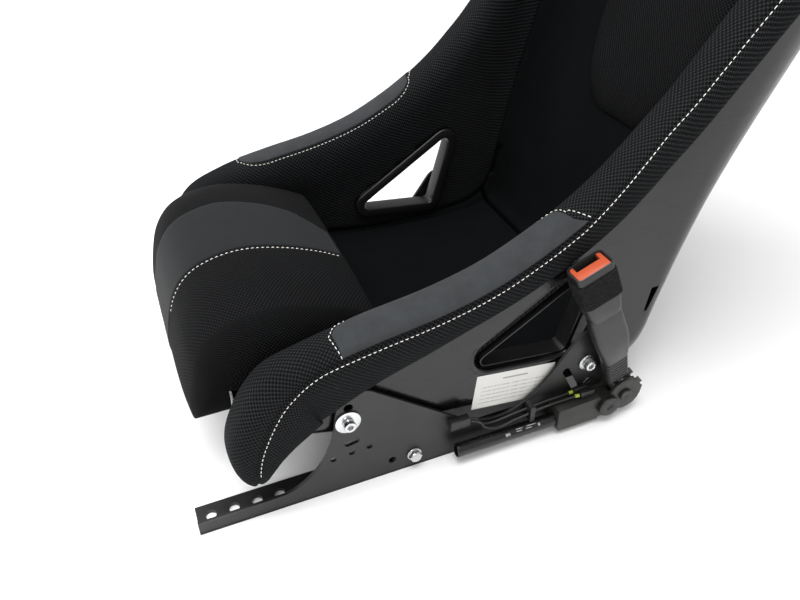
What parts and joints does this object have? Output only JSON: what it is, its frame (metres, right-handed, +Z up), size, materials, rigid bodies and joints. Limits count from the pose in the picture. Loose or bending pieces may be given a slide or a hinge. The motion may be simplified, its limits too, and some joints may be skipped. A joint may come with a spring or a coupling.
{
  "type": "racing seat",
  "caption": "Fixed-back racing seat: a moulded tub with wrapped side bolsters and loose cushions on steel side brackets, with a belt buckle and its pretensioner on one side.",
  "frame": {"origin": "middle of the footprint's bounding box, at floor level under the side brackets' feet", "axes": "the sitter faces -Y, +X is the sitter's left (the buckle's side), +Z is up"},
  "size_m": [0.5646, 0.8008, 0.9],
  "materials": {
    "shell": "black gelcoat on glass fibre",
    "mesh_cloth": "black spacer mesh over foam, with dark grey smooth patches and white stitching",
    "lining_cloth": "plain black knitted lining over foam",
    "moulded_trim": "semi-gloss black moulding",
    "bracket": "satin black powder coat on 4 mm steel",
    "zinc": "bright zinc plate",
    "black_steel": "glossy black coated steel tube",
    "pretensioner_housing": "dark grey die casting",
    "black_plastic": "fine-grained black plastic",
    "felt": "black felt",
    "button": "orange-red satin plastic",
    "wire": "black insulation",
    "steel_cable": "twisted steel cable"
  },
  "bodies": {
    "seat": {"anchor_cap": "black_plastic", "back_pad": "lining_cloth", "bolster_left": "mesh_cloth", "bolster_right": "mesh_cloth", "cable_lower": "steel_cable", "floor_pad": "lining_cloth", "head_cushion": "mesh_cloth", "hip_window_trim_left": "moulded_trim", "hip_window_trim_right": "moulded_trim", "igniter_plug_1": "black_plastic", "igniter_plug_2": "black_plastic", "igniter_wire_1": "wire", "igniter_wire_2": "wire", "insert_front_left": "zinc", "insert_front_right": "zinc", "insert_rear_left": "zinc", "insert_rear_right": "zinc", "lumbar_cushion": "mesh_cloth", "piston": "zinc", "pretensioner_body": "pretensioner_housing", "pretensioner_tube": "black_steel", "pulley": "zinc", "pulley_pin": "zinc", "rail_bolt_left": "zinc", "rail_bolt_right": "zinc", "rail_nut_left": "zinc", "rail_nut_right": "zinc", "seat_bolt_front_left": "zinc", "seat_bolt_front_right": "zinc", "seat_bolt_rear_left": "zinc", "seat_bolt_rear_right": "zinc", "seat_shell": "shell", "side_bracket_left": "bracket", "side_bracket_right": "bracket", "spacer_front_left": "zinc", "spacer_front_right": "zinc", "spacer_rear_left": "zinc", "spacer_rear_right": "zinc", "strap_slot_trim_left": "moulded_trim", "strap_slot_trim_right": "moulded_trim", "thigh_cushion": "mesh_cloth", "washer_front_left": "zinc", "washer_front_right": "zinc", "washer_rear_left": "zinc", "washer_rear_right": "zinc", "wire_clip": "black_plastic", "wire_connector": "black_plastic"},
    "buckle": {"stalk_boot": "black_plastic", "buckle_cover": "black_plastic", "felt_band": "felt", "buckle_frame": "black_steel", "cable_upper": "steel_cable"},
    "release_button": {"release_button": "button"},
    "latch": {"latch": "zinc"},
    "ejector": {"ejector": "black_plastic"}
  },
  "joints": [
    {"name": "stalk_tilt", "type": "hinge", "parent": "seat", "child": "buckle", "pos_m": [0.2274, 0.10262, 0.033], "axis": [1, 0, 0], "range_deg": [-12, 15]},
    {"name": "button_press", "type": "slide", "parent": "buckle", "child": "release_button", "axis": [0, 0.3714, -0.9285], "range_m": [0, 0.005], "stiffness_N_per_m": 400, "springref_m": -0.002},
    {"name": "latch_lift", "type": "hinge", "parent": "buckle", "child": "latch", "pos_m": [0.246, 0.03503, 0.20198], "axis": [0, 0.9285, 0.3714], "range_deg": [0, 8.1]},
    {"name": "ejector_travel", "type": "slide", "parent": "buckle", "child": "ejector", "axis": [0, -0.3714, 0.9285], "range_m": [-0.009, 0], "stiffness_N_per_m": 250, "springref_m": 0.004}
  ],
  "couplings": [
    {"joint": "latch_lift", "follows": "button_press", "rad_per_m": 28}
  ]
}
